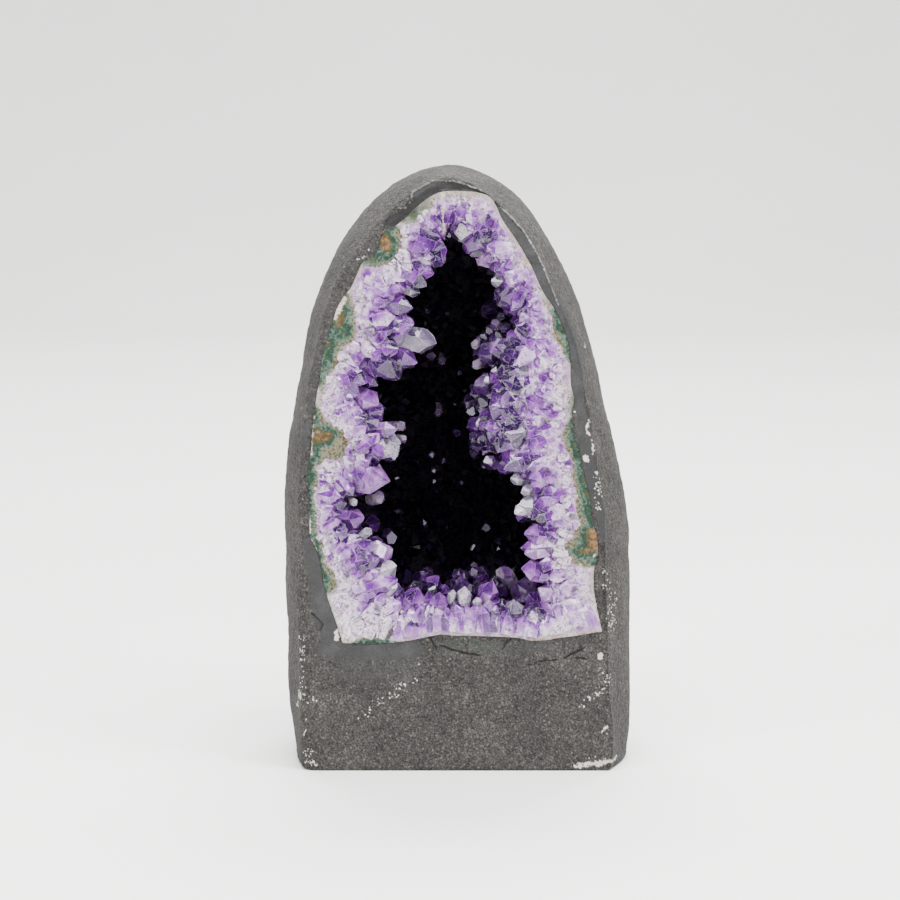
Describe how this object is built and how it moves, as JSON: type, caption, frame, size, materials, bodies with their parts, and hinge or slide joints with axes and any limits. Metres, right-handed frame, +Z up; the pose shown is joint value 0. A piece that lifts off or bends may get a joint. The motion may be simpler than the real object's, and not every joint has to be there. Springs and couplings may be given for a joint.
{
  "type": "amethyst cathedral geode",
  "caption": "Upright arched geode with a flat base and a sawn front, its deep hollow lined with purple quartz crystals inside a dark coated stone shell.",
  "frame": {"origin": "middle of the footprint, on the flat base that the geode stands on", "axes": "+Z up along the arch, sawn open front towards -Y, +X to the right seen from the front"},
  "size_m": [0.1289, 0.0977, 0.2196],
  "materials": {
    "coated_stone": "rough granular dark grey cement coat over basalt, smoother around the crystals",
    "amethyst": "clear to milky violet quartz crystals with glassy flat faces on a banded white, tan and green rind"
  },
  "bodies": {
    "root": {"stone_shell": "coated_stone", "crystal_crust": "amethyst"}
  },
  "joints": []
}
